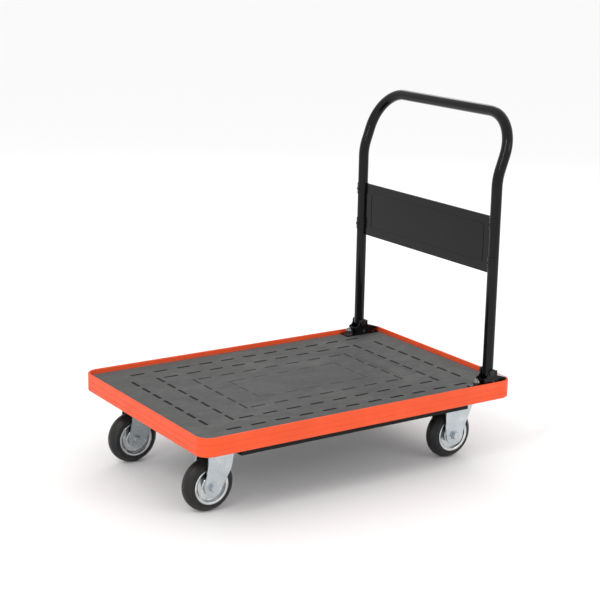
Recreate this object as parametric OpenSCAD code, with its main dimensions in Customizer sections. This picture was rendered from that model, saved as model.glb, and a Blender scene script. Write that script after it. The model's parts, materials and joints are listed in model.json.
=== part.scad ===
// Folding platform cart: a rubber-edged load deck on two fixed and two
// swivel casters, with a tubular push handle that folds down over the deck.
// Millimetres. +Z up, floor at z = 0, origin under the middle of the deck.
// +X points to the handle end, -Y is the left side as seen by the pusher.

/* [Deck] */
// Deck length over the edge bumper
deck_l = 905; // [880:5:940]
// Deck width over the edge bumper
deck_w = 605; // [580:5:640]
// Height of the anti-slip surface above the floor
deck_z = 208; // [206:0.5:210]
// Outer corner radius of the bumper
corner_r = 35; // [28:1:45]
// Height of the bumper band
bumper_h = 46; // [44:0.5:48]
// Height of the bumper lip above the surface
lip_h = 12; // [11:0.5:13]
// Thickness of the bumper wall and lip
lip_t = 5; // [4.5:0.1:5.5]
// Thickness of the anti-slip mat
mat_t = 3; // [2.5:0.1:3.5]
// Sheet thickness of the pressed steel pan
pan_t = 1.6; // [1.2:0.1:2]

/* [Handle] */
// Outside diameter of the handle pipe
pipe_d = 27.2; // [26.8:0.1:27.4]
// Wall of the handle pipe
pipe_t = 1.6; // [1.4:0.1:2]
// Height of the fold pivot above the deck surface
pivot_rise = 36; // [35.5:0.1:37]
// Height of the bend where the handle starts to lean back
bend_z = 733; // [700:1:760]
// Lean of the grip loop behind the upright legs
lean_deg = 19.4; // [12:0.1:19.4]
// Radius of that bend, on the pipe centre line
bend_r = 126; // [100:1:140]
// Radius of the two top corners, on the pipe centre line
grip_r = 102.7; // [85:1:110]
// Length of the leaning part, from bend vertex to grip bar
lean_len = 161; // [150:1:165]
// Bottom edge of the panel above the floor
panel_z0 = 495; // [460:1:520]
// Height of the panel
panel_h = 143; // [130:1:150]

/* [Casters] */
// Wheel diameter
wheel_d = 130; // [125:1:131]
// Tyre width
tyre_w = 40; // [36:1:42]
// Distance of the wheels from the middle of the deck, across
wheel_y = 189; // [170:1:195]
// Distance of the fixed axles from the middle of the deck
fixed_x = 374; // [350:1:380]
// Distance of the swivel axles from the middle of the deck, at rest
swivel_x = 338; // [320:1:345]
// Swivel trail, from kingpin to axle
trail = 33; // [30:1:36]
// Caster height, floor to mounting face
caster_h = 172; // [171:0.5:173]

/* [Fits] */
// Radial clearance of turning pins and axles
run_c = 0.05; // [0.03:0.01:0.08]
// Gap between pieces of different bodies that pass each other
gap = 0.6; // [0.4:0.1:0.7]

/* [Hidden] */
$fn = 64;

// heights
bump_z1 = deck_z + lip_h;              // top of the lip
bump_z0 = bump_z1 - bumper_h;          // bottom of the bumper
pan_z1 = deck_z - mat_t;               // top of the pan
pan_zi = pan_z1 - pan_t;               // underside of the pan's top
pan_z0 = bump_z0 + 3;                  // bottom of the pan's skirt
wheel_r = wheel_d / 2;
axle_z = wheel_r;

// plan positions
leg_x = deck_l / 2 - 67.2;             // fold pivot and leg centre line
leg_y = deck_w / 2 - 24.8;
pivot_z = deck_z + pivot_rise;
pr = pipe_d / 2;
king_x = swivel_x + trail;
fixed_off = 26;                        // fixed plate centre ahead of its axle
fixed_px = -fixed_x + fixed_off;

// fork and plate sizes
leg_in = 26.5;                         // inner face of a fork leg from the wheel's mid plane
fork_t = 3;
plate_t = 4;
plate_l = 110;
plate_w = 88;
bolt_dx = 42.5;
bolt_dy = 33;
plate_z0 = caster_h - plate_t;
web_z = caster_h - 22;                 // top of the swivel fork's web
chan_t = 2.5;

// fold bracket
cheek_in = 14.3;
cheek_t = 3;
base_t = 3;
base_z1 = deck_z + base_t;
stud_x = leg_x - 33.3;
screw_x = leg_x + 43;
latch_x = leg_x + 4.7;                 // latch pin
latch_z = deck_z + 10.5;
pin_r = 5;
latch_r = 3;
strap_z = [525, 622];                  // heights of the panel's straps

function side(s) = s;                  // -1 left, +1 right

// rounded rectangle, centred, as a flat outline
module rrect2(l, w, r) {
    difference() {
        square([l, w], center = true);
        for (i = [-1, 1], j = [-1, 1])
            translate([i * (l / 2 - r), j * (w / 2 - r)]) difference() {
                translate([i > 0 ? 0 : -r - 1, j > 0 ? 0 : -r - 1]) square(r + 1);
                circle(r);
            }
    }
}
module rrect(l, w, r, h) { linear_extrude(h) rrect2(l, w, r); }

// the space inside the lip, drawn in by c, as a prism
module well_outline(c, h) {
    rrect(deck_l - 2 * lip_t - 2 * c, deck_w - 2 * lip_t - 2 * c, corner_r - lip_t - c, h);
}

// hexagon prism on its end, given across the flats
module hexa(af, h) { cylinder(h = h, r = af / sqrt(3), $fn = 6); }

// ---------------------------------------------------------------- deck
module deck_pan() {
    color([0.10, 0.10, 0.10]) difference() {
        c = 0.3;
        l = deck_l - 2 * lip_t - 2 * c;
        w = deck_w - 2 * lip_t - 2 * c;
        r = corner_r - lip_t - c;
        translate([0, 0, pan_z0]) rrect(l, w, r, pan_z1 - pan_z0);
        translate([0, 0, pan_z0 - 1]) rrect(l - 2 * pan_t, w - 2 * pan_t, r - pan_t, pan_zi - pan_z0 + 1);
        for (s = [-1, 1]) bracket_holes(s, pan_zi - 1, pan_z1 + 1);
    }
}
// the stud and screw holes under one fold bracket
module bracket_holes(s, z0, z1) {
    translate([stud_x, s * leg_y, z0]) cylinder(h = z1 - z0, r = 6.5);
    for (d = [-8, 8]) translate([screw_x, s * leg_y + d, z0]) cylinder(h = z1 - z0, r = 3.4);
}
module deck_mat() {
    color([0.36, 0.37, 0.36]) difference() {
        c = 0.3;
        translate([0, 0, pan_z1])
            rrect(deck_l - 2 * lip_t - 2 * c, deck_w - 2 * lip_t - 2 * c, corner_r - lip_t - c, mat_t);
        for (s = [-1, 1]) bracket_holes(s, pan_z1 - 1, deck_z + 1);
    }
}
module edge_bumper() {
    color([0.98, 0.36, 0.20]) difference() {
        translate([0, 0, bump_z0]) rrect(deck_l, deck_w, corner_r, bumper_h);
        // well above the mat and the pan's skirt pocket, one opening
        translate([0, 0, pan_z0 - 0.3])
            rrect(deck_l - 2 * lip_t, deck_w - 2 * lip_t, corner_r - lip_t, bump_z1 - pan_z0 + 1.3);
        // bottom flange stays 12 wide under the skirt
        translate([0, 0, bump_z0 - 1])
            rrect(deck_l - 34, deck_w - 34, corner_r - 17, 10);
        // two shallow flutes round the outside
        for (f = [0.40, 0.70]) translate([0, 0, bump_z1 - f * bumper_h - 1.2]) difference() {
            rrect(deck_l + 4, deck_w + 4, corner_r + 2, 2.4);
            translate([0, 0, -1]) rrect(deck_l - 2.4, deck_w - 2.4, corner_r - 1.2, 4.4);
        }
    }
}
// black longitudinal channel under one long edge, its ends cut at a slant
module side_rail(s) {
    x0 = -deck_l / 2 + 112; x1 = deck_l / 2 - 132;
    zb = deck_z - 50;
    color([0.07, 0.07, 0.07]) translate([0, s * (deck_w / 2 - 31.5), 0]) difference() {
        translate([x0, -14, zb]) cube([x1 - x0, 28, pan_zi - zb]);
        translate([x0 - 1, -12, zb + 2]) cube([x1 - x0 + 2, 24, pan_zi - zb - 4]);
        translate([x0 - 1, s > 0 ? -15 : 3, zb + 2]) cube([x1 - x0 + 2, 12, pan_zi - zb - 4]);
        translate([x0, -20, zb]) rotate([0, -45, 0]) translate([-60, 0, -60]) cube([60, 40, 120]);
        translate([x1, -20, zb]) rotate([0, 45, 0]) translate([0, 0, -60]) cube([60, 40, 120]);
    }
}
// hat channel across the deck that carries a pair of casters
module cross_member(cx) {
    hw = 52; hy = deck_w / 2 - 47.5;
    h = pan_zi - caster_h;
    color([0.07, 0.07, 0.07]) difference() {
        translate([cx, hy, caster_h]) rotate([90, 0, 0]) linear_extrude(2 * hy)
            polygon([[-hw, 0], [hw, 0], [hw, h - chan_t], [hw + 14, h - chan_t], [hw + 14, h],
                     [hw - chan_t, h], [hw - chan_t, chan_t], [-hw + chan_t, chan_t],
                     [-hw + chan_t, h], [-hw - 14, h], [-hw - 14, h - chan_t], [-hw, h - chan_t]]);
        for (s = [-1, 1]) plate_holes(cx, s, caster_h - 1, chan_t + 2, 4.4);
        for (s = [-1, 1]) translate([cx, s * wheel_y, caster_h - 1]) cylinder(h = chan_t + 2, r = 12);
    }
}
module plate_holes(cx, s, z, h, r) {
    for (i = [-1, 1], j = [-1, 1])
        translate([cx + i * bolt_dx, s * wheel_y + j * bolt_dy, z]) cylinder(h = h, r = r);
}
module each_caster_bolt() {
    for (cx = [fixed_px, king_x], s = [-1, 1], i = [-1, 1], j = [-1, 1])
        translate([cx + i * bolt_dx, s * wheel_y + j * bolt_dy, 0]) children();
}
module caster_bolts() {
    color([0.80, 0.82, 0.84]) each_caster_bolt() {
        translate([0, 0, plate_z0 - 5.3]) hexa(13, 5.3);
        translate([0, 0, plate_z0 - 1]) cylinder(h = 18, r = 4);
    }
}
module caster_nuts() {
    color([0.80, 0.82, 0.84]) each_caster_bolt() translate([0, 0, caster_h + chan_t]) difference() {
        rotate([0, 0, 30]) hexa(13, 6.5);          // flats face the channel's webs
        translate([0, 0, -1]) cylinder(h = 9, r = 4.02);
    }
}

// ---------------------------------------------------------------- fold brackets
// base plate, two low cheeks with a narrow round ear at the pin, a low front web
// and a rear stop web
module hinge_bracket(s) {
    ho = cheek_in + cheek_t;
    color([0.06, 0.06, 0.06]) translate([leg_x, s * leg_y, 0]) difference() {
        union() {
            // base plate, its outer corner following the rounded corner of the lip
            intersection() {
                translate([-50.3, -ho, deck_z]) cube([106, 2 * ho, base_t]);
                translate([-leg_x, -s * leg_y, deck_z - 1]) well_outline(0.8, base_t + 2);
            }
            for (t = [-1, 1])
                translate([0, t > 0 ? ho : -cheek_in, deck_z]) rotate([90, 0, 0]) linear_extrude(cheek_t)
                    polygon([[-21.8, 0], [-21.8, 21.8], [-14.5, 25], [-10.8, 30], [-9.4, 36],
                             [-8.7, 39.6], [-6.6, 42.7], [-3.6, 44.7], [0, 45.4], [3.6, 44.7],
                             [6.6, 42.7], [9.4, 40.4], [17.3, 40.4], [17.3, 27.5], [21.8, 25.5],
                             [21.8, 0]]);
            translate([-21.8, -ho + 1, deck_z]) cube([3, 2 * ho - 2, pivot_rise - pr - 1]);
            translate([pr + 0.3, -ho + 1, pivot_z - 7]) cube([3, 2 * ho - 2, 11]);
        }
        translate([0, ho + 1, pivot_z]) rotate([90, 0, 0]) cylinder(h = 2 * ho + 2, r = pin_r + 0.02);
        translate([latch_x - leg_x, ho + 1, latch_z]) rotate([90, 0, 0]) cylinder(h = 2 * ho + 2, r = latch_r + 0.02);
        translate([stud_x - leg_x, 0, deck_z - 1]) cylinder(h = base_t + 2, r = 6.3);
        for (d = [-8, 8]) translate([screw_x - leg_x, d, deck_z - 1]) {
            cylinder(h = base_t + 2, r = 3.2);
            translate([0, 0, base_t + 1 - 2.6]) cylinder(h = 2.7, r1 = 3.2, r2 = 5.95);
        }
    }
}
// round-headed square-neck studs that come up through the deck
module bracket_studs() {
    color([0.80, 0.82, 0.84]) for (s = [-1, 1]) translate([stud_x, s * leg_y, 0]) {
        translate([0, 0, pan_zi - 4]) cylinder(h = 4, r = 12);
        translate([0, 0, pan_zi - 2]) cylinder(h = base_z1 + 12 - pan_zi + 2, r = 6);
    }
}
// domed cap nuts with a washer
module bracket_cap_nuts() {
    color([0.85, 0.86, 0.88]) for (s = [-1, 1]) translate([stud_x, s * leg_y, base_z1]) difference() {
        union() {
            cylinder(h = 2, r = 11.3);
            translate([0, 0, 1.5]) hexa(19, 8.5);
            translate([0, 0, 9.2]) intersection() { sphere(r = 9); translate([0, 0, -1]) cylinder(h = 12, r = 9.2); }
        }
        translate([0, 0, -1]) cylinder(h = 14, r = 6.02);
    }
}
module bracket_screws() {
    color([0.10, 0.10, 0.10]) for (s = [-1, 1], d = [-8, 8]) translate([screw_x, s * leg_y + d, 0]) {
        translate([0, 0, base_z1 - 2.6]) cylinder(h = 2.5, r1 = 3.1, r2 = 5.7);
        translate([0, 0, pan_zi - 7]) cylinder(h = base_z1 - 2 - pan_zi + 7, r = 3);
    }
}
module bracket_screw_nuts() {
    color([0.80, 0.82, 0.84]) for (s = [-1, 1], d = [-8, 8])
        translate([screw_x, s * leg_y + d, pan_zi - 5]) difference() {
            hexa(10, 5);
            translate([0, 0, -1]) cylinder(h = 7, r = 3.02);
        }
}
// low-headed pins on which the legs fold, head outward
module pivot_pins() {
    ho = cheek_in + cheek_t;
    color([0.08, 0.08, 0.08]) for (s = [-1, 1]) translate([leg_x, s * leg_y, pivot_z]) rotate([s > 0 ? 90 : -90, 0, 0]) {
        translate([0, 0, -ho - 2.5]) cylinder(h = 2.5, r = 8.5);
        translate([0, 0, -ho - 1]) cylinder(h = 2 * ho + 7.5, r = pin_r);
    }
}
module pivot_nuts() {
    ho = cheek_in + cheek_t;
    color([0.12, 0.12, 0.12]) for (s = [-1, 1]) translate([leg_x, s * leg_y, pivot_z]) rotate([s > 0 ? 90 : -90, 0, 0])
        translate([0, 0, ho]) difference() {
            hexa(16, 5);
            translate([0, 0, -1]) cylinder(h = 7, r = pin_r + 0.02);
        }
}
module latch_pins() {
    ho = cheek_in + cheek_t;
    color([0.80, 0.82, 0.84]) for (s = [-1, 1]) translate([latch_x, s * leg_y, latch_z]) rotate([90, 0, 0])
        translate([0, 0, -ho - 1.2]) {
            cylinder(h = 2 * ho + 2.4, r = latch_r);
            cylinder(h = 1.2, r = 4.4);
            translate([0, 0, 2 * ho + 1.2]) cylinder(h = 1.2, r = 4.4);
        }
}
// torsion springs round the latch pins: a coil with a long tail under the pedal
// and a short one below
spring_r = 4.2;
spring_wire = 0.65;
spring_turns = 4;
spring_per = 12;
spring_n = spring_turns * spring_per + 6;        // ends half a turn on, at the bottom
function spring_a(i) = 90 + 360 * i / spring_per;
function spring_c(i) = [spring_r * cos(spring_a(i)), 1.45 * (i / spring_per - spring_turns / 2 - 0.25), spring_r * sin(spring_a(i))];
function spring_ring(c, a) = [for (j = [0:7]) c + spring_wire * [cos(45 * j) * cos(a), sin(45 * j), cos(45 * j) * sin(a)]];
function spring_pts() = concat(
    spring_ring(spring_c(0) + [5, 0, 0], spring_a(0)),
    [for (i = [0:spring_n]) for (p = spring_ring(spring_c(i), spring_a(i))) p],
    spring_ring(spring_c(spring_n) + [2.2, 0, 0], spring_a(spring_n)));
function spring_faces(m) = concat(
    [[for (j = [0:7]) j]],
    [for (i = [0:m - 2], j = [0:7]) let (k = (j + 1) % 8) each [[8 * i + j, 8 * i + 8 + j, 8 * i + 8 + k], [8 * i + j, 8 * i + 8 + k, 8 * i + k]]],
    [[for (j = [7:-1:0]) 8 * (m - 1) + j]]);
module latch_springs() {
    color([0.70, 0.72, 0.74]) for (s = [-1, 1]) translate([latch_x, s * leg_y, latch_z])
        polyhedron(points = spring_pts(), faces = spring_faces(spring_n + 3), convexity = 6);
}
// spring-loaded foot pedal: nose behind the leg's foot, tread to the rear
module latch_pedal(s) {
    w = 12;
    color([0.05, 0.05, 0.05]) translate([latch_x, s * leg_y, latch_z]) difference() {
        union() {
            intersection() {
                translate([-latch_x, -s * leg_y, -latch_z + deck_z - 1]) well_outline(1.5, 40);
                rotate([90, 0, 0]) translate([0, 0, -w]) linear_extrude(2 * w)
                polygon([[-3, 5.5], [5.4, 15], [8.6, 17.1], [12, 17], [20, 14.5], [53, 4], [53, 1],
                         [35, -2], [18, -4], [5, -6.1], [0, -6.6]]);
            }
            translate([0, w, 0]) rotate([90, 0, 0]) cylinder(h = 2 * w, r = 6.8);
        }
        translate([0, w + 1, 0]) rotate([90, 0, 0]) cylinder(h = 2 * w + 2, r = latch_r + run_c);
        // pocket for the torsion spring, open below and in front
        translate([-9, -4.2, -9]) cube([16, 8.4, 15]);
    }
}

// ---------------------------------------------------------------- handle
module pipe_path(r) {
    d1 = bend_r * tan(lean_deg / 2);
    tube_z0 = pivot_z + 8;
    for (s = [-1, 1]) {
        translate([leg_x, s * leg_y, tube_z0]) cylinder(h = bend_z - d1 - tube_z0, r = r);
        translate([leg_x + bend_r, s * leg_y, bend_z - d1]) rotate([90, 0, 180])
            rotate_extrude(angle = lean_deg) translate([bend_r, 0]) circle(r = r);
    }
    translate([leg_x, 0, bend_z]) rotate([0, lean_deg, 0]) {
        for (s = [-1, 1]) {
            translate([0, s * leg_y, d1]) cylinder(h = lean_len - grip_r - d1, r = r);
            // hair-thin collar that ties the leaning part to its bend
            translate([0, s * leg_y, d1 - 0.5]) cylinder(h = 1, r = r + 0.01);
            mirror([0, s > 0 ? 0 : 1, 0]) translate([0, leg_y - grip_r, lean_len - grip_r]) rotate([90, 0, 90])
                rotate_extrude(angle = 90) translate([grip_r, 0]) circle(r = r);
        }
        translate([0, leg_y - grip_r, lean_len]) rotate([90, 0, 0]) cylinder(h = 2 * (leg_y - grip_r), r = r);
    }
}
module handle_tube() {
    color([0.04, 0.04, 0.04]) difference() {
        pipe_path(pr);
        pipe_path(pr - pipe_t);
        for (s = [-1, 1]) translate([leg_x, s * leg_y, pivot_z + 7]) cylinder(h = 2, r = pr - pipe_t);
        for (s = [-1, 1], z = strap_z) translate([leg_x, s * leg_y, z]) rotate([0, -90, 0]) cylinder(h = pr + 5, r = 2.1);
    }
}
// turned plug in the end of a leg, rounded under the pivot so that it can fold
module leg_foot(s) {
    color([0.05, 0.05, 0.05]) translate([leg_x, s * leg_y, 0]) difference() {
        union() {
            translate([0, 0, pivot_z + 7.5]) cylinder(h = 28, r = pr - pipe_t - 0.05);
            translate([0, 0, pivot_z]) cylinder(h = 8, r = pr);
            intersection() {
                translate([0, 0, pivot_z - pr - 1]) cylinder(h = pr + 1.01, r = pr);
                translate([0, pr + 1, pivot_z]) rotate([90, 0, 0]) cylinder(h = 2 * pr + 2, r = pr - 0.1);
            }
        }
        translate([0, pr + 1, pivot_z]) rotate([90, 0, 0]) cylinder(h = 2 * pr + 2, r = pin_r + run_c);
    }
}
// sheet panel: hemmed long edges, a raised frame line, four straps round the legs
module handle_panel() {
    y1 = leg_y - pr - 1.6;
    zc = panel_z0 + panel_h / 2;
    color([0.05, 0.05, 0.05]) difference() {
        union() {
            translate([leg_x - 0.6, -y1, panel_z0]) cube([1.2, 2 * y1, panel_h]);
            for (z = [panel_z0, panel_z0 + panel_h - 6]) translate([leg_x - 0.6, -y1, z]) cube([3.6, 2 * y1, 6]);
            for (s = [-1, 1]) translate([leg_x - 0.6, s > 0 ? y1 - 1.2 : -y1, panel_z0]) cube([8, 1.2, panel_h]);
            // raised frame line
            translate([leg_x - 1.4, 0, zc]) rotate([0, 90, 0]) difference() {
                rrect(panel_h - 43, 2 * y1 - 50, 12, 1.2);
                translate([0, 0, -1]) rrect(panel_h - 50, 2 * y1 - 57, 9, 4);
            }
            for (s = [-1, 1], z = strap_z) {
                translate([leg_x, s * leg_y, z - 15]) mirror([0, s > 0 ? 0 : 1, 0]) rotate([0, 0, 116])
                    rotate_extrude(angle = 154) translate([pr + 0.05, 0]) square([1.5, 30]);
                translate([leg_x - 1.6, s > 0 ? y1 - 1 : -leg_y + pr + 0.7, z - 14]) cube([1.9, 1.9, 28]);
            }
        }
        for (s = [-1, 1], z = strap_z) translate([leg_x, s * leg_y, z]) rotate([0, -90, 0]) cylinder(h = pr + 5, r = 2.3);
    }
}
module panel_screws() {
    color([0.10, 0.10, 0.10]) for (s = [-1, 1], z = strap_z) translate([leg_x - pr - 1.65, s * leg_y, z]) rotate([0, -90, 0]) {
        difference() {
            cylinder(h = 2.6, r1 = 4.6, r2 = 3.4);
            translate([-0.5, -3, 1.6]) cube([1, 6, 2]);
            translate([-3, -0.5, 1.6]) cube([6, 1, 2]);
        }
        translate([0, 0, -9]) cylinder(h = 9.5, r = 2);
    }
}

// ---------------------------------------------------------------- casters
// one leg of a fixed fork, side outline with the axle at [0, 0]
module fixed_leg2() {
    zt = plate_z0 - axle_z + 0.5;
    union() {
        polygon([[-22, 2], [-21.5, 10], [-17, 32], [-14, 54], [-11.5, 75], [-8, 94], [-6, zt],
                 [59, zt], [56, 90], [54, 70], [51, 54], [46, 36], [39, 24], [32, 12], [22, -6], [0, -10]]);
        circle(r = 22);
    }
}
module fixed_fork(s) {
    color([0.80, 0.83, 0.86]) difference() {
        union() {
            translate([fixed_px - plate_l / 2, s * wheel_y - plate_w / 2, plate_z0]) cube([plate_l, plate_w, plate_t]);
            for (t = [-1, 1])
                translate([-fixed_x, s * wheel_y + (t > 0 ? leg_in + fork_t : -leg_in), axle_z]) rotate([90, 0, 0])
                    linear_extrude(fork_t) fixed_leg2();
        }
        plate_holes(fixed_px, s, plate_z0 - 1, plate_t + 2, 4.4);
        translate([-fixed_x, s * wheel_y + 40, axle_z]) rotate([90, 0, 0]) cylinder(h = 80, r = 6.03);
    }
}
// one leg of a swivel fork: upright at the back, raked forward to the swivel head
module swivel_leg2() {
    zt = web_z - axle_z;
    union() {
        polygon([[-26.5, 2], [-29, 12], [-30, 40], [-30, zt - 4], [-27, zt], [60, zt], [55, 76],
                 [50, 62], [45, 52], [36, 32], [28.5, 13], [26, 2], [0, -8]]);
        circle(r = 26);
    }
}
module swivel_fork(s) {
    color([0.80, 0.83, 0.86]) difference() {
        union() {
            for (t = [-1, 1])
                translate([swivel_x, s * wheel_y + (t > 0 ? leg_in + fork_t : -leg_in), axle_z]) rotate([90, 0, 0])
                    linear_extrude(fork_t) swivel_leg2();
            translate([swivel_x - 27, s * wheel_y - leg_in - 1, web_z - 3.2]) cube([86, 2 * leg_in + 2, 3.2]);
            translate([king_x, s * wheel_y, web_z - 3.2]) cylinder(h = 6.2, r = 39.5);
            translate([king_x, s * wheel_y, web_z - 1]) difference() {
                cylinder(h = 14, r = 39.5);
                translate([0, 0, -1]) cylinder(h = 16, r = 37.2);
            }
        }
        translate([king_x, s * wheel_y, web_z - 5]) cylinder(h = 12, r = 8 + run_c);
        translate([swivel_x, s * wheel_y + 40, axle_z]) rotate([90, 0, 0]) cylinder(h = 80, r = 6.03);
    }
}
// mounting plate with the inner race boss of the swivel head
module swivel_plate(s) {
    color([0.80, 0.83, 0.86]) difference() {
        union() {
            translate([king_x - plate_l / 2, s * wheel_y - plate_w / 2, plate_z0]) cube([plate_l, plate_w, plate_t]);
            translate([king_x, s * wheel_y, web_z + 3.4]) cylinder(h = plate_z0 - web_z - 2.4, r = 27.6);
        }
        plate_holes(king_x, s, plate_z0 - 1, plate_t + 2, 4.4);
        translate([king_x, s * wheel_y, web_z]) cylinder(h = 40, r = 8.02);
    }
}
module swivel_balls(s) {
    n = 22;
    color([0.85, 0.86, 0.88]) for (i = [0 : n - 1])
        translate([king_x + 32.4 * cos(i * 360 / n), s * wheel_y + 32.4 * sin(i * 360 / n), web_z + 7.8]) sphere(r = 4.3, $fn = 32);
}
module kingpins() {
    color([0.80, 0.82, 0.84]) for (s = [-1, 1]) translate([king_x, s * wheel_y, 0]) {
        translate([0, 0, web_z - 18]) cylinder(h = caster_h - web_z + 18, r = 8);
        translate([0, 0, caster_h]) cylinder(h = 2.4, r = 11);
    }
}
module kingpin_nuts() {
    color([0.80, 0.82, 0.84]) for (s = [-1, 1]) translate([king_x, s * wheel_y, web_z - 3.2 - 0.3 - 12]) difference() {
        hexa(24, 12);
        translate([0, 0, -1]) cylinder(h = 14, r = 8.02);
    }
}
// axle bolt for one wheel, head on the outer side of the cart
module axle_bolt(x, s) {
    f = leg_in + fork_t;
    translate([x, s * wheel_y, axle_z]) rotate([s > 0 ? 90 : -90, 0, 0]) {
        translate([0, 0, -f - 2]) cylinder(h = 2, r = 12.5);
        translate([0, 0, -f - 9]) hexa(18, 7.2);
        translate([0, 0, -f - 3]) cylinder(h = 2 * f + 13, r = 6);
    }
}
module axle_nut(x, s) {
    f = leg_in + fork_t;
    translate([x, s * wheel_y, axle_z]) rotate([s > 0 ? 90 : -90, 0, 0]) translate([0, 0, f]) difference() {
        union() {
            cylinder(h = 2, r = 12.5);
            translate([0, 0, 1.8]) hexa(18, 7);
        }
        translate([0, 0, -1]) cylinder(h = 12, r = 6.02);
    }
}
module fixed_axles() { color([0.82, 0.84, 0.86]) for (s = [-1, 1]) axle_bolt(-fixed_x, s); }
module fixed_axle_nuts() { color([0.82, 0.84, 0.86]) for (s = [-1, 1]) axle_nut(-fixed_x, s); }
module swivel_axle(s) { color([0.82, 0.84, 0.86]) axle_bolt(swivel_x, s); }
module swivel_axle_nut(s) { color([0.82, 0.84, 0.86]) axle_nut(swivel_x, s); }

// rubber tyre, rounded shoulders
module tyre(x, s) {
    h = tyre_w / 2; r = wheel_r;
    color([0.11, 0.11, 0.11]) translate([x, s * wheel_y, axle_z]) rotate([90, 0, 0]) rotate_extrude($fn = 96)
        polygon([[43.1, -h + 0.6], [44.5, -h], [r - 14, -h], [r - 10.5, -h + 1.6], [r - 7.5, -h + 4.6], [r - 4, -h + 8],
                 [r - 1.5, -h + 11], [r, -h + 14], [r, h - 14], [r - 1.5, h - 11], [r - 4, h - 8],
                 [r - 7.5, h - 4.6], [r - 10.5, h - 1.6], [r - 14, h], [44.5, h], [43.1, h - 0.6]]);
}
// pressed steel wheel centre: two dished faces and a barrel round the bush
module rim(x, s) {
    color([0.84, 0.87, 0.89]) translate([x, s * wheel_y, axle_z]) rotate([90, 0, 0]) rotate_extrude($fn = 96)
        polygon([[15.02, -24], [19, -24], [21.5, -15], [34, -13.5], [38.5, -21], [41, -22], [44.3, -22], [44.3, -20.2], [43, -19.3],
                 [43, 19.3], [44.3, 20.2], [44.3, 22], [41, 22], [38.5, 21], [34, 13.5], [21.5, 15], [19, 24], [15.02, 24],
                 [15.02, 21.5], [17, 21.5], [19.5, 12.8], [36, 11], [40.6, 19], [40.6, -19], [36, -11], [19.5, -12.8],
                 [17, -21.5], [15.02, -21.5]]);
}
// plain bush that runs on the axle
module hub_bush(x, s) {
    color([0.75, 0.75, 0.72]) translate([x, s * wheel_y + 26.2, axle_z]) rotate([90, 0, 0]) difference() {
        cylinder(h = 52.4, r = 15);
        translate([0, 0, -1]) cylinder(h = 55, r = 6 + run_c);
    }
}

deck_pan();
deck_mat();
edge_bumper();
side_rail(-1);  // side_rail_left
side_rail(1);  // side_rail_right
cross_member(fixed_px);  // cross_member_front
cross_member(king_x);  // cross_member_rear
caster_bolts();
caster_nuts();
hinge_bracket(-1);  // hinge_bracket_left
hinge_bracket(1);  // hinge_bracket_right
bracket_studs();
bracket_cap_nuts();
bracket_screws();
bracket_screw_nuts();
pivot_pins();
pivot_nuts();
latch_pins();
latch_springs();
fixed_fork(-1);  // fixed_fork_left
fixed_fork(1);  // fixed_fork_right
fixed_axles();
fixed_axle_nuts();
swivel_plate(-1);  // swivel_plate_left
swivel_plate(1);  // swivel_plate_right
kingpins();
kingpin_nuts();
handle_tube();
leg_foot(-1);  // leg_foot_left
leg_foot(1);  // leg_foot_right
handle_panel();
panel_screws();
latch_pedal(-1);  // latch_pedal_left
latch_pedal(1);  // latch_pedal_right
swivel_fork(-1);  // swivel_fork_left
swivel_fork(1);  // swivel_fork_right
swivel_balls(-1);  // swivel_balls_left
swivel_balls(1);  // swivel_balls_right
swivel_axle(-1);  // swivel_axle_left
swivel_axle(1);  // swivel_axle_right
swivel_axle_nut(-1);  // swivel_axle_nut_left
swivel_axle_nut(1);  // swivel_axle_nut_right
tyre(-fixed_x, -1);  // tyre_front_left
tyre(-fixed_x, 1);  // tyre_front_right
tyre(swivel_x, -1);  // tyre_rear_left
tyre(swivel_x, 1);  // tyre_rear_right
rim(-fixed_x, -1);  // rim_front_left
rim(-fixed_x, 1);  // rim_front_right
rim(swivel_x, -1);  // rim_rear_left
rim(swivel_x, 1);  // rim_rear_right
hub_bush(-fixed_x, -1);  // hub_bush_front_left
hub_bush(-fixed_x, 1);  // hub_bush_front_right
hub_bush(swivel_x, -1);  // hub_bush_rear_left
hub_bush(swivel_x, 1);  // hub_bush_rear_right
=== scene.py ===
import bpy, bmesh, json, math
from mathutils import Matrix, Vector


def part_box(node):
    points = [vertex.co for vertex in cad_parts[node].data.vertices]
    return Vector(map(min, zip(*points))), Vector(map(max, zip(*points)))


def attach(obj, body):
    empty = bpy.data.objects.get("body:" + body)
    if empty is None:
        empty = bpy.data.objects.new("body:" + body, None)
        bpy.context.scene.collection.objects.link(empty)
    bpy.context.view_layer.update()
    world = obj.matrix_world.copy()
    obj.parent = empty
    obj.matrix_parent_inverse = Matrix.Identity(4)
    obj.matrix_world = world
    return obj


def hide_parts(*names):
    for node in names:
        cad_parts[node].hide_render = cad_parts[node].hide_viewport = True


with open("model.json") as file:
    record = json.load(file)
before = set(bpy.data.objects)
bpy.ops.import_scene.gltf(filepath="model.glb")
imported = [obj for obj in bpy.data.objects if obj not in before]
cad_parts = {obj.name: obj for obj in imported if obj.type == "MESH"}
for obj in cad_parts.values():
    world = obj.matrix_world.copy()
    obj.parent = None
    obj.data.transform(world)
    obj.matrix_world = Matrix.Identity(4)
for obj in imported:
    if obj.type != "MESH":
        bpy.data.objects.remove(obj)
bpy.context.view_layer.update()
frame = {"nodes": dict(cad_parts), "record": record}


MM = 0.001

# ------------------------------------------------------------------ materials


def nodes_of(name):
    m = bpy.data.materials.new(name)
    m.use_nodes = True
    nt = m.node_tree
    b = next(n for n in nt.nodes if n.type == "BSDF_PRINCIPLED")
    tc = nt.nodes.new("ShaderNodeTexCoord")
    return m, nt, b, tc.outputs["Object"]


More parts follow.
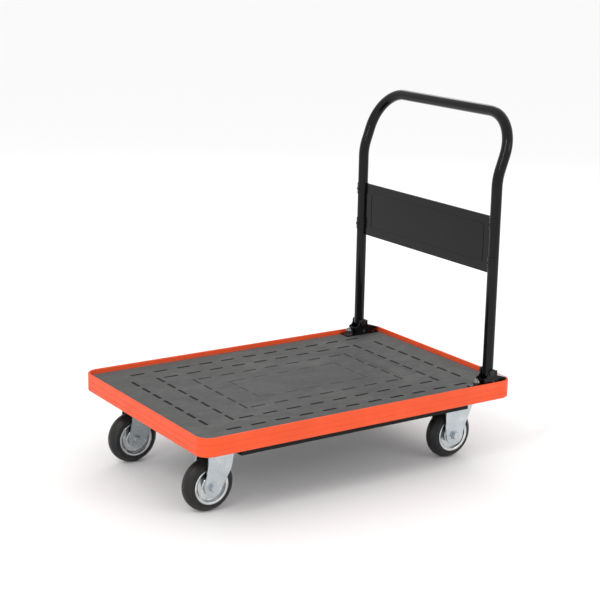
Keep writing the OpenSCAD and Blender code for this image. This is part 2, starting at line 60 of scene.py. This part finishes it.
def noise(nt, vec, scale, detail=4.0, rough=0.55, stretch=None):
    if stretch:
        mp = nt.nodes.new("ShaderNodeMapping")
        mp.inputs["Scale"].default_value = stretch
        nt.links.new(vec, mp.inputs["Vector"])
        vec = mp.outputs["Vector"]
    n = nt.nodes.new("ShaderNodeTexNoise")
    n.inputs["Scale"].default_value = scale
    n.inputs["Detail"].default_value = detail
    n.inputs["Roughness"].default_value = rough
    nt.links.new(vec, n.inputs["Vector"])
    return n.outputs["Fac"]


def ramp(nt, fac, stops):
    r = nt.nodes.new("ShaderNodeValToRGB")
    e = r.color_ramp.elements
    while len(e) > 1:
        e.remove(e[0])
    e[0].position, e[0].color = stops[0][0], (*stops[0][1], 1)
    for p, c in stops[1:]:
        x = e.new(p)
        x.color = (*c, 1)
    nt.links.new(fac, r.inputs["Fac"])
    return r.outputs["Color"]


def spread(nt, fac, lo, hi, a=0.3, b=0.7):
    m = nt.nodes.new("ShaderNodeMapRange")
    m.inputs["From Min"].default_value, m.inputs["From Max"].default_value = a, b
    m.inputs["To Min"].default_value, m.inputs["To Max"].default_value = lo, hi
    nt.links.new(fac, m.inputs["Value"])
    return m.outputs["Result"]


def bump(nt, bsdf, height, strength, distance):
    b = nt.nodes.new("ShaderNodeBump")
    b.inputs["Strength"].default_value = strength
    b.inputs["Distance"].default_value = distance
    nt.links.new(height, b.inputs["Height"])
    nt.links.new(b.outputs["Normal"], bsdf.inputs["Normal"])


def scaled(c, k):
    return tuple(min(1.0, x * k) for x in c)


def surface(name, color, rough, metallic=0.0, vary=0.12, vary_scale=14, fine=600, grain=0.15,
            depth=0.0002, coat=0.0, tint=None, stretch=None, spec=None):
    m, nt, b, vec = nodes_of(name)
    cloud = noise(nt, vec, vary_scale, 5, 0.6, stretch)
    nt.links.new(ramp(nt, cloud, [(0.30, scaled(color, 1 - vary)), (0.52, color),
                                  (0.72, tint or scaled(color, 1 + vary))]), b.inputs["Base Color"])
    patch = noise(nt, vec, vary_scale * 4.3, 6, 0.65, stretch)
    nt.links.new(spread(nt, patch, rough[0], rough[1]), b.inputs["Roughness"])
    b.inputs["Metallic"].default_value = metallic
    if coat:
        b.inputs["Coat Weight"].default_value = coat
        b.inputs["Coat Roughness"].default_value = 0.06
    if spec is not None:
        b.inputs["Specular IOR Level"].default_value = spec
    bump(nt, b, noise(nt, vec, fine, 3, 0.6), grain, depth)
    return m


M = {}
M["bumper_orange"] = surface("bumper_orange", (0.83, 0.090, 0.024), (0.34, 0.50), vary=0.07, vary_scale=9,
                             fine=420, grain=0.06, depth=0.0002, tint=(0.86, 0.103, 0.032), spec=0.25)
M["mat_rubber"] = surface("mat_rubber", (0.081, 0.084, 0.081), (0.62, 0.86), vary=0.13, vary_scale=7,
                          fine=900, grain=0.42, depth=0.00035, tint=(0.099, 0.102, 0.098), stretch=(1, 1.6, 1),
                          spec=0.25)
M["mat_border"] = surface("mat_border", (0.112, 0.118, 0.118), (0.55, 0.78), vary=0.08, vary_scale=12,
                          fine=700, grain=0.25, depth=0.0003, spec=0.25)
# painted shade for the sunk dashes: flat darker greys, darkest in the deep outer rings and paler in the shallow inner
# ones
for _g, _v in (("mat_groove_painted_shade_1", 0.022), ("mat_groove_painted_shade_2", 0.027), ("mat_groove_painted_shade_3", 0.046), ("mat_groove_painted_shade_4", 0.074)):
    M[_g] = surface(_g, (_v, _v * 1.02, _v), (0.75, 0.9), vary=0.15, vary_scale=20, fine=900, grain=0.3,
                    depth=0.0003, spec=0.1)
M["black_paint"] = surface("black_paint", (0.0046, 0.0048, 0.0046), (0.06, 0.13), vary=0.2, vary_scale=11,
                           fine=260, grain=0.03, depth=0.0002, spec=0.20)
M["chassis_paint"] = surface("chassis_paint", (0.0075, 0.0075, 0.0075), (0.34, 0.55), vary=0.25, vary_scale=16,
                             fine=500, grain=0.12, depth=0.0002, spec=0.15)
M["zinc"] = surface("zinc", (0.50, 0.548, 0.575), (0.22, 0.38), metallic=1.0, vary=0.10, vary_scale=30,
                    fine=320, grain=0.06, depth=0.0002, tint=(0.60, 0.62, 0.63))
# a brighter copy of the zinc for the rims: painted highlight, on a smoother finish
M["zinc_painted_highlight"] = surface("zinc_painted_highlight", (0.58, 0.61, 0.62), (0.12, 0.26), metallic=1.0, vary=0.16, vary_scale=42,
                           fine=320, grain=0.05, depth=0.0002, tint=(0.78, 0.80, 0.80))
M["black_fastener"] = surface("black_fastener", (0.010, 0.010, 0.010), (0.22, 0.36), vary=0.2, vary_scale=60,
                              fine=700, grain=0.1, depth=0.0001, spec=0.3)
# a dark copy of the zinc for the cap nuts and latch pins: painted dark reflection and shade in place of their bright
# plating
M["zinc_painted_dark_reflection"] = surface("zinc_painted_dark_reflection", (0.20, 0.195, 0.20), (0.10, 0.20), metallic=1.0, vary=0.15, vary_scale=60,
                        fine=700, grain=0.05, depth=0.0001)
M["spring_steel"] = surface("spring_steel", (0.40, 0.42, 0.44), (0.22, 0.40), metallic=1.0, vary=0.1,
                            vary_scale=90, fine=900, grain=0.06, depth=0.0001)
M["tyre_rubber"] = surface("tyre_rubber", (0.011, 0.011, 0.0105), (0.34, 0.58), vary=0.25, vary_scale=22,
                           fine=520, grain=0.22, depth=0.0003, tint=(0.019, 0.0185, 0.017), spec=0.35)
M["bush_nylon"] = surface("bush_nylon", (0.55, 0.55, 0.50), (0.35, 0.5), vary=0.08, vary_scale=40,
                          fine=600, grain=0.1, depth=0.0001)

slot_of = {s["node"]: s["material_slot"] for s in frame["record"]["subparts"]}
body_of = {n: b for b, ns in frame["record"]["behaviour"]["bodies"].items() for n in ns}

# carried-over CAD pieces: material, and a small worked edge on the pressed and cut ones
BEVEL = {"hinge_bracket_left": 0.9, "hinge_bracket_right": 0.9, "fixed_fork_left": 0.9, "fixed_fork_right": 0.9,
         "swivel_fork_left": 0.9, "swivel_fork_right": 0.9, "swivel_plate_left": 0.6, "swivel_plate_right": 0.6,
         "caster_bolts": 0.35, "caster_nuts": 0.35, "bracket_cap_nuts": 0.4, "fixed_axles": 0.5,
         "fixed_axle_nuts": 0.5, "swivel_axle_left": 0.5, "swivel_axle_right": 0.5, "swivel_axle_nut_left": 0.5,
         "swivel_axle_nut_right": 0.5, "latch_pedal_left": 0.8, "latch_pedal_right": 0.8, "side_rail_left": 0.5,
         "side_rail_right": 0.5, "cross_member_front": 0.6, "cross_member_rear": 0.6, "handle_panel": 0.35,
         "pivot_pins": 0.4, "pivot_nuts": 0.4, "kingpin_nuts": 0.4, "deck_pan": 0.4}
for name, o in frame["nodes"].items():
    for i in range(max(1, len(o.material_slots))):
        if not o.material_slots:
            o.data.materials.append(M[slot_of[name]])
        o.material_slots[i].link = "OBJECT"
        # cap nuts and latch pins get the dark zinc copy, a painted dark reflection
        o.material_slots[i].material = M["zinc_painted_dark_reflection" if name in ("bracket_cap_nuts", "latch_pins") else slot_of[name]]
    if name in BEVEL:
        b = o.modifiers.new("edge", "BEVEL")
        b.width = BEVEL[name] * MM
        b.segments = 2
        b.limit_method = "ANGLE"
        b.angle_limit = math.radians(38)
        b.harden_normals = False

# ------------------------------------------------------------------ mesh tools


def piece(name, verts, faces, node, slot, sharp=32, body=None, extra=None, face_mats=None):
    me = bpy.data.meshes.new(name)
    me.from_pydata([tuple(c * MM for c in v) for v in verts], [], faces)
    me.validate()
    bm = bmesh.new()
    bm.from_mesh(me)
    bmesh.ops.recalc_face_normals(bm, faces=bm.faces)
    bm.to_mesh(me)
    bm.free()
    for p in me.polygons:
        p.use_smooth = True
    me.set_sharp_from_angle(angle=math.radians(sharp))
    me.materials.append(M[slot])
    for x in extra or []:
        me.materials.append(M[x])
    o = bpy.data.objects.new(name, me)
    bpy.context.scene.collection.objects.link(o)
    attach(o, body or body_of[node])
    if node:
        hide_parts(node)
    return o


def rounded(profile, radii, steps=4):
    """A closed outline with each corner replaced by an arc-like curve that leaves it radii away."""
    out, n = [], len(profile)
    for i, p in enumerate(profile):
        r = radii if isinstance(radii, (int, float)) else radii[i]
        a, b = profile[i - 1], profile[(i + 1) % n]
        if r <= 0:
            out.append(p)
            continue
        la, lb = math.dist(p, a), math.dist(p, b)
        ka, kb = min(r, la * 0.45) / la, min(r, lb * 0.45) / lb
        s = [p[j] + (a[j] - p[j]) * ka for j in (0, 1)]
        e = [p[j] + (b[j] - p[j]) * kb for j in (0, 1)]
        for k in range(steps + 1):
            t = k / steps
            out.append(tuple((1 - t) ** 2 * s[j] + 2 * t * (1 - t) * p[j] + t * t * e[j] for j in (0, 1)))
    return out


def lathe(profile, cx, cy, cz, seg=128):
    """Revolves a closed (radius, across) outline round the wheel's own axle line."""
    n, verts, faces = len(profile), [], []
    for k in range(seg):
        a = 2 * math.pi * k / seg
        verts += [(cx + r * math.cos(a), cy + w, cz + r * math.sin(a)) for r, w in profile]
    for k in range(seg):
        for i in range(n):
            j, q = (i + 1) % n, (k + 1) % seg
            faces.append((k * n + i, k * n + j, q * n + j, q * n + i))
    return verts, faces


def ring(l, w, r, seg=14):
    pts = []
    for sx, sy, a0 in ((1, 1, 0), (-1, 1, 90), (-1, -1, 180), (1, -1, 270)):
        for k in range(seg + 1):
            a = math.radians(a0 + 90 * k / seg)
            pts.append((sx * (l / 2 - r) + r * math.cos(a), sy * (w / 2 - r) + r * math.sin(a)))
    return pts


# ------------------------------------------------------------------ edge bumper
blo, bhi = [[c / MM for c in v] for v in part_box("edge_bumper")]
BL, BW, Z0, Z1, CR = bhi[0] - blo[0], bhi[1] - blo[1], blo[2], bhi[2], 35.0
BH = Z1 - Z0
prof = []
v1, v2 = Z1 - 0.70 * BH, Z1 - 0.40 * BH
bands = [(Z0 + 1.0, v1), (v1, v2), (v2, Z1 - 2.6)]
prof.append((2.2, Z0))
for i, (a, b) in enumerate(bands):
    steps = 24
    for k in range(steps + (1 if i == 2 else 0)):
        t = k / steps
        edge = min(t, 1 - t) * (b - a)              # flat faces that roll in over the last 1.5 mm
        swell = min(1.0, math.sqrt(max(0.0, edge / 1.5)))
        base = 0.9
        if i == 2 and t > 0.5:
            base, swell = 0.35, 1.0
        if k == 0 and i == 0:
            base = 1.2
        prof.append((base * (1 - swell), a + (b - a) * t))
for k in range(1, 9):                       # full round lip, 5 wide
    a = math.pi * k / 8
    prof.append((2.5 - 2.35 * math.cos(a), Z1 - 2.6 + 2.6 * math.sin(a)))
prof += [(5.0, Z1 - 6), (5.0, Z1 - 14), (5.0, Z0 + 2.9), (17.0, Z0 + 2.9), (17.0, Z0 + 0.6), (16.4, Z0)]
SEG = 16
verts, faces, n = [], [], None
for d, z in prof:
    pts = ring(BL - 2 * d, BW - 2 * d, CR - d, SEG)
    n = len(pts)
    verts += [(x, y, z) for x, y in pts]
m = len(prof)
for i in range(m):
    for k in range(n):
        a, b = i, (i + 1) % m
        faces.append((a * n + k, a * n + (k + 1) % n, b * n + (k + 1) % n, b * n + k))
bumper = piece("edge_bumper_ribbed", verts, faces, "edge_bumper", "bumper_orange", sharp=40)

# ------------------------------------------------------------------ deck mat with sunk dashes
mlo, mhi = [[c / MM for c in v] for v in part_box("deck_mat")]
ML, MW, MZ0, MZ1 = mhi[0] - mlo[0], mhi[1] - mlo[1], mlo[2], mhi[2]
mr = CR - 5.3
rings = [(0, MZ0, mr), (0, MZ1 - 0.9, mr), (0.8, MZ1 - 0.5, mr), (11.5, MZ1 - 0.5, mr), (12.3, MZ1, mr)]
verts, faces = [], []
for d, z, r in rings:
    verts += [(x, y, z) for x, y in ring(ML - 2 * d, MW - 2 * d, max(4, r - d), 14)]
n = 60
for i in range(len(rings) - 1):
    for k in range(n):
        faces.append((i * n + k, i * n + (k + 1) % n, (i + 1) * n + (k + 1) % n, (i + 1) * n + k))
faces.append(tuple(range(n)))
faces.append(tuple(range((len(rings) - 1) * n, len(rings) * n)))
mat = piece("deck_mat_grip", verts, faces, "deck_mat", "mat_rubber", sharp=25,
            extra=["mat_border", "mat_groove_painted_shade_1", "mat_groove_painted_shade_2", "mat_groove_painted_shade_3", "mat_groove_painted_shade_4"])
for p in mat.data.polygons:                 # the plain band that follows the lip
    c = p.center / MM
    if p.normal.z > 0.5 and (abs(c.x) > ML / 2 - 12.5 or abs(c.y) > MW / 2 - 12.5) and len(p.vertices) == 4:
        p.material_index = 1


def stadium(cx, cy, along, length, width, depth):
    """One sunk dash: round ends, drafted sides."""
    vs, seg = [], 6
    for z, w in ((MZ1 - depth, width * 0.36), (MZ1 + 0.6, width * 0.60)):
        for s in (1, -1):
            for k in range(seg + 1):
                a = math.radians(-90 + 180 * k / seg + (0 if s > 0 else 180))
                u, v = s * (length / 2 - width / 2) + w * math.cos(a), w * math.sin(a)
                vs.append((cx + u, cy + v, z) if along == "x" else (cx - v, cy + u, z))
    k = len(vs) // 2
    fs = [tuple(reversed(range(k))), tuple(range(k, 2 * k))]
    fs += [(i, (i + 1) % k, k + (i + 1) % k, k + i) for i in range(k)]
    return vs, fs


cut_v, cut_f = [], []


def add_cut(vs, fs):
    o = len(cut_v)
    cut_v.extend(vs)
    cut_f.extend(tuple(i + o for i in f) for f in fs)


PX, PY, DASH = 66.5, 56.0, 40.0
# concentric rectangles of dashes: half length, half width, dashes each side of middle, depth
for hx, hy, kx, ky, dep, wid in ((373.5, 237.5, 5, 3, 1.5, 8.0), (303, 182.5, 4, 3, 1.4, 7.4),
                                 (231, 127.5, 3, 2, 1.0, 6.4), (160, 72.5, 2, 1, 0.6, 5.2)):
    for s in (-1, 1):
        for k in range(-kx, kx + 1):
            add_cut(*stadium(PX * k, s * hy, "x", DASH, wid, dep))
        for k in range(-ky, ky + 1):
            add_cut(*stadium(s * hx, PY * k, "y", DASH, wid, dep))
# plain rectangle between the second and third ring at the handle end
for x in (243.0, 291.0):
    add_cut(*stadium(x, 0, "y", 210, 2.6, 0.6))
for y in (-108.0, 108.0):
    add_cut(*stadium(267.0, y, "x", 40, 2.6, 0.6))
cm = bpy.data.meshes.new("dash_cut")
cm.from_pydata([tuple(c * MM for c in v) for v in cut_v], [], cut_f)
cb = bmesh.new()
cb.from_mesh(cm)
bmesh.ops.recalc_face_normals(cb, faces=cb.faces)
cb.to_mesh(cm)
cb.free()
cutter = bpy.data.objects.new("dash_cut", cm)
bpy.context.scene.collection.objects.link(cutter)
bo = mat.modifiers.new("dashes", "BOOLEAN")
bo.operation, bo.solver, bo.object = "DIFFERENCE", "EXACT", cutter
bpy.context.view_layer.update()
done = bpy.data.meshes.new_from_object(mat.evaluated_get(bpy.context.evaluated_depsgraph_get()))
mat.modifiers.clear()
mat.data = done
for p in mat.data.polygons:
    p.use_smooth = True
    c = p.center / MM                       # the dashes' own walls and floors get painted shade, darker in the outer, deeper rectangles
    if c.z < MZ1 - 0.2 and c.z > MZ1 - 1.8 and abs(c.x) < ML / 2 - 16 and abs(c.y) < MW / 2 - 16:
        ax, ay = abs(c.x), abs(c.y)
        boxed = c.x > 238 and c.x < 296 and ay < 112
        p.material_index = (5 if boxed else 2 if ax > 356 or ay > 210 else 3 if ax > 270 or ay > 155
                            else 4 if ax > 200 or ay > 100 else 5)
mat.data.set_sharp_from_angle(angle=math.radians(25))
bpy.data.objects.remove(cutter, do_unlink=True)

# ------------------------------------------------------------------ handle pipe, one smooth sweep
LX, LY, PR = 385.3, 277.7, 13.6
PZ0, BZ, LEAN, BR, GR, LL = 252.0, 733.0, math.radians(19.4), 126.0, 102.7, 161.0
d1 = BR * math.tan(LEAN / 2)


def leaning(y, s):
    return (LX + s * math.sin(LEAN), y, BZ + s * math.cos(LEAN))


half = [(LX, -LY, PZ0 + (BZ - d1 - PZ0) * k / 6) for k in range(7)]
half += [(LX + BR * (1 - math.cos(LEAN * k / 10)), -LY, BZ - d1 + BR * math.sin(LEAN * k / 10)) for k in range(1, 11)]
half += [leaning(-LY + GR * (1 - math.cos(math.pi / 2 * k / 18)), LL - GR + GR * math.sin(math.pi / 2 * k / 18))
         for k in range(19)]
path = half + [(x, -y, z) for x, y, z in reversed(half)]
P = [Vector(p) for p in path]
T = [(P[min(i + 1, len(P) - 1)] - P[max(i - 1, 0)]).normalized() for i in range(len(P))]
N = Vector((1, 0, 0))
verts, faces, SIDES = [], [], 40
for i, (p, t) in enumerate(zip(P, T)):
    N = (N - t * N.dot(t)).normalized()
    B = t.cross(N)
    for k in range(SIDES):
        a = 2 * math.pi * k / SIDES
        verts.append(tuple(p + (N * math.cos(a) + B * math.sin(a)) * PR))
for i in range(len(P) - 1):
    for k in range(SIDES):
        q = (k + 1) % SIDES
        faces.append((i * SIDES + k, i * SIDES + q, (i + 1) * SIDES + q, (i + 1) * SIDES + k))
faces.append(tuple(range(SIDES)))
faces.append(tuple(range((len(P) - 1) * SIDES, len(P) * SIDES)))
piece("handle_pipe", verts, faces, "handle_tube", "black_paint", sharp=50)

# ------------------------------------------------------------------ wheels
TYRE = [(43.1, -19.4), (44.5, -20), (49.0, -20), (50.2, -19.2), (51.5, -19.2), (52.5, -19.9), (54.5, -18.4),
        (57.5, -15.4), (60.8, -12), (63.2, -9), (64.4, -6), (64.95, -2.5), (64.95, 2.5), (64.4, 6), (63.2, 9),
        (60.8, 12), (57.5, 15.4), (54.5, 18.4), (52.5, 19.9), (51.5, 19.2), (50.2, 19.2), (49.0, 20), (44.5, 20),
        (43.1, 19.4)]
RIM = [(15.02, -24), (19, -24), (21.5, -15), (34, -13.5), (38.5, -21), (41, -22), (44.3, -22), (44.3, -20.2),
       (43, -19.3), (43, 19.3), (44.3, 20.2), (44.3, 22), (41, 22), (38.5, 21), (34, 13.5), (21.5, 15), (19, 24),
       (15.02, 24), (15.02, 21.5), (17, 21.5), (19.5, 12.8), (36, 11), (40.6, 19), (40.6, -19), (36, -11),
       (19.5, -12.8), (17, -21.5), (15.02, -21.5)]
for end in ("front", "rear"):
    for side in ("left", "right"):
        lo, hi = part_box(f"tyre_{end}_{side}")
        c = [(a + b) / 2 / MM for a, b in zip(lo, hi)]
        v, f = lathe(rounded(TYRE, 0.9, 3), *c)
        piece(f"tyre_moulded_{end}_{side}", v, f, f"tyre_{end}_{side}", "tyre_rubber", sharp=60)
        v, f = lathe(rounded(RIM, 1.7, 4), *c)
        rim = piece(f"rim_pressed_{end}_{side}", v, f, f"rim_{end}_{side}", "zinc", sharp=60)
        # the rims take the brighter zinc copy, a painted highlight
        rim.data.materials[0] = M["zinc_painted_highlight"]

# ------------------------------------------------------------------ floor, light, camera
me = bpy.data.meshes.new("floor")
me.from_pydata([(-30, -30, 0), (30, -30, 0), (30, 30, 0), (-30, 30, 0)], [], [(0, 1, 2, 3)])
floor = bpy.data.objects.new("floor", me)
bpy.context.scene.collection.objects.link(floor)
fm, fnt, fb, fv = nodes_of("floor_pale")
fb.inputs["Base Color"].default_value = (0.97, 0.97, 0.97, 1)
fb.inputs["Roughness"].default_value = 0.9
me.materials.append(fm)

world = bpy.data.worlds.new("studio")
bpy.context.scene.world = world
world.use_nodes = True
bg = next(x for x in world.node_tree.nodes if x.type == "BACKGROUND")
bg.inputs["Color"].default_value = (1, 1, 1, 1)
bg.inputs["Strength"].default_value = 0.98
bpy.context.scene.view_settings.view_transform = "Standard"


def area(name, at, to, size, power):
    d = bpy.data.lights.new(name, "AREA")
    d.shape, d.size, d.size_y, d.energy = "RECTANGLE", size[0], size[1], power
    o = bpy.data.objects.new(name, d)
    o.location = at
    o.rotation_euler = (Vector(to) - Vector(at)).to_track_quat("-Z", "Y").to_euler()
    bpy.context.scene.collection.objects.link(o)


area("key", (-3.2, -1.6, 3.2), (0, 0, 0.3), (0.14, 2.0), 46)
area("fill", (1.6, -3.4, 1.9), (0, 0, 0.4), (1.6, 1.2), 14)
area("back", (2.2, 2.6, 2.8), (0, 0, 0.5), (1.8, 1.2), 22)

cam_d = bpy.data.cameras.new("camera")
cam_d.lens, cam_d.sensor_width = 90.52, 36.0
cam = bpy.data.objects.new("camera", cam_d)
az, el, roll = math.radians(-33.61), math.radians(14.41), math.radians(1.08)
back = Vector((math.sin(az) * math.cos(el), -math.cos(az) * math.cos(el), math.sin(el)))
right = Vector((math.cos(az), math.sin(az), 0))
up = back.cross(right)
r2 = right * math.cos(roll) + up * math.sin(roll)
u2 = up * math.cos(roll) - right * math.sin(roll)
rot = Matrix((r2, u2, back)).transposed().to_4x4()
cam.matrix_world = Matrix.Translation((-2.01767, -3.03624, 1.35182)) @ rot
bpy.context.scene.collection.objects.link(cam)
bpy.context.scene.camera = cam

bpy.context.view_layer.update()
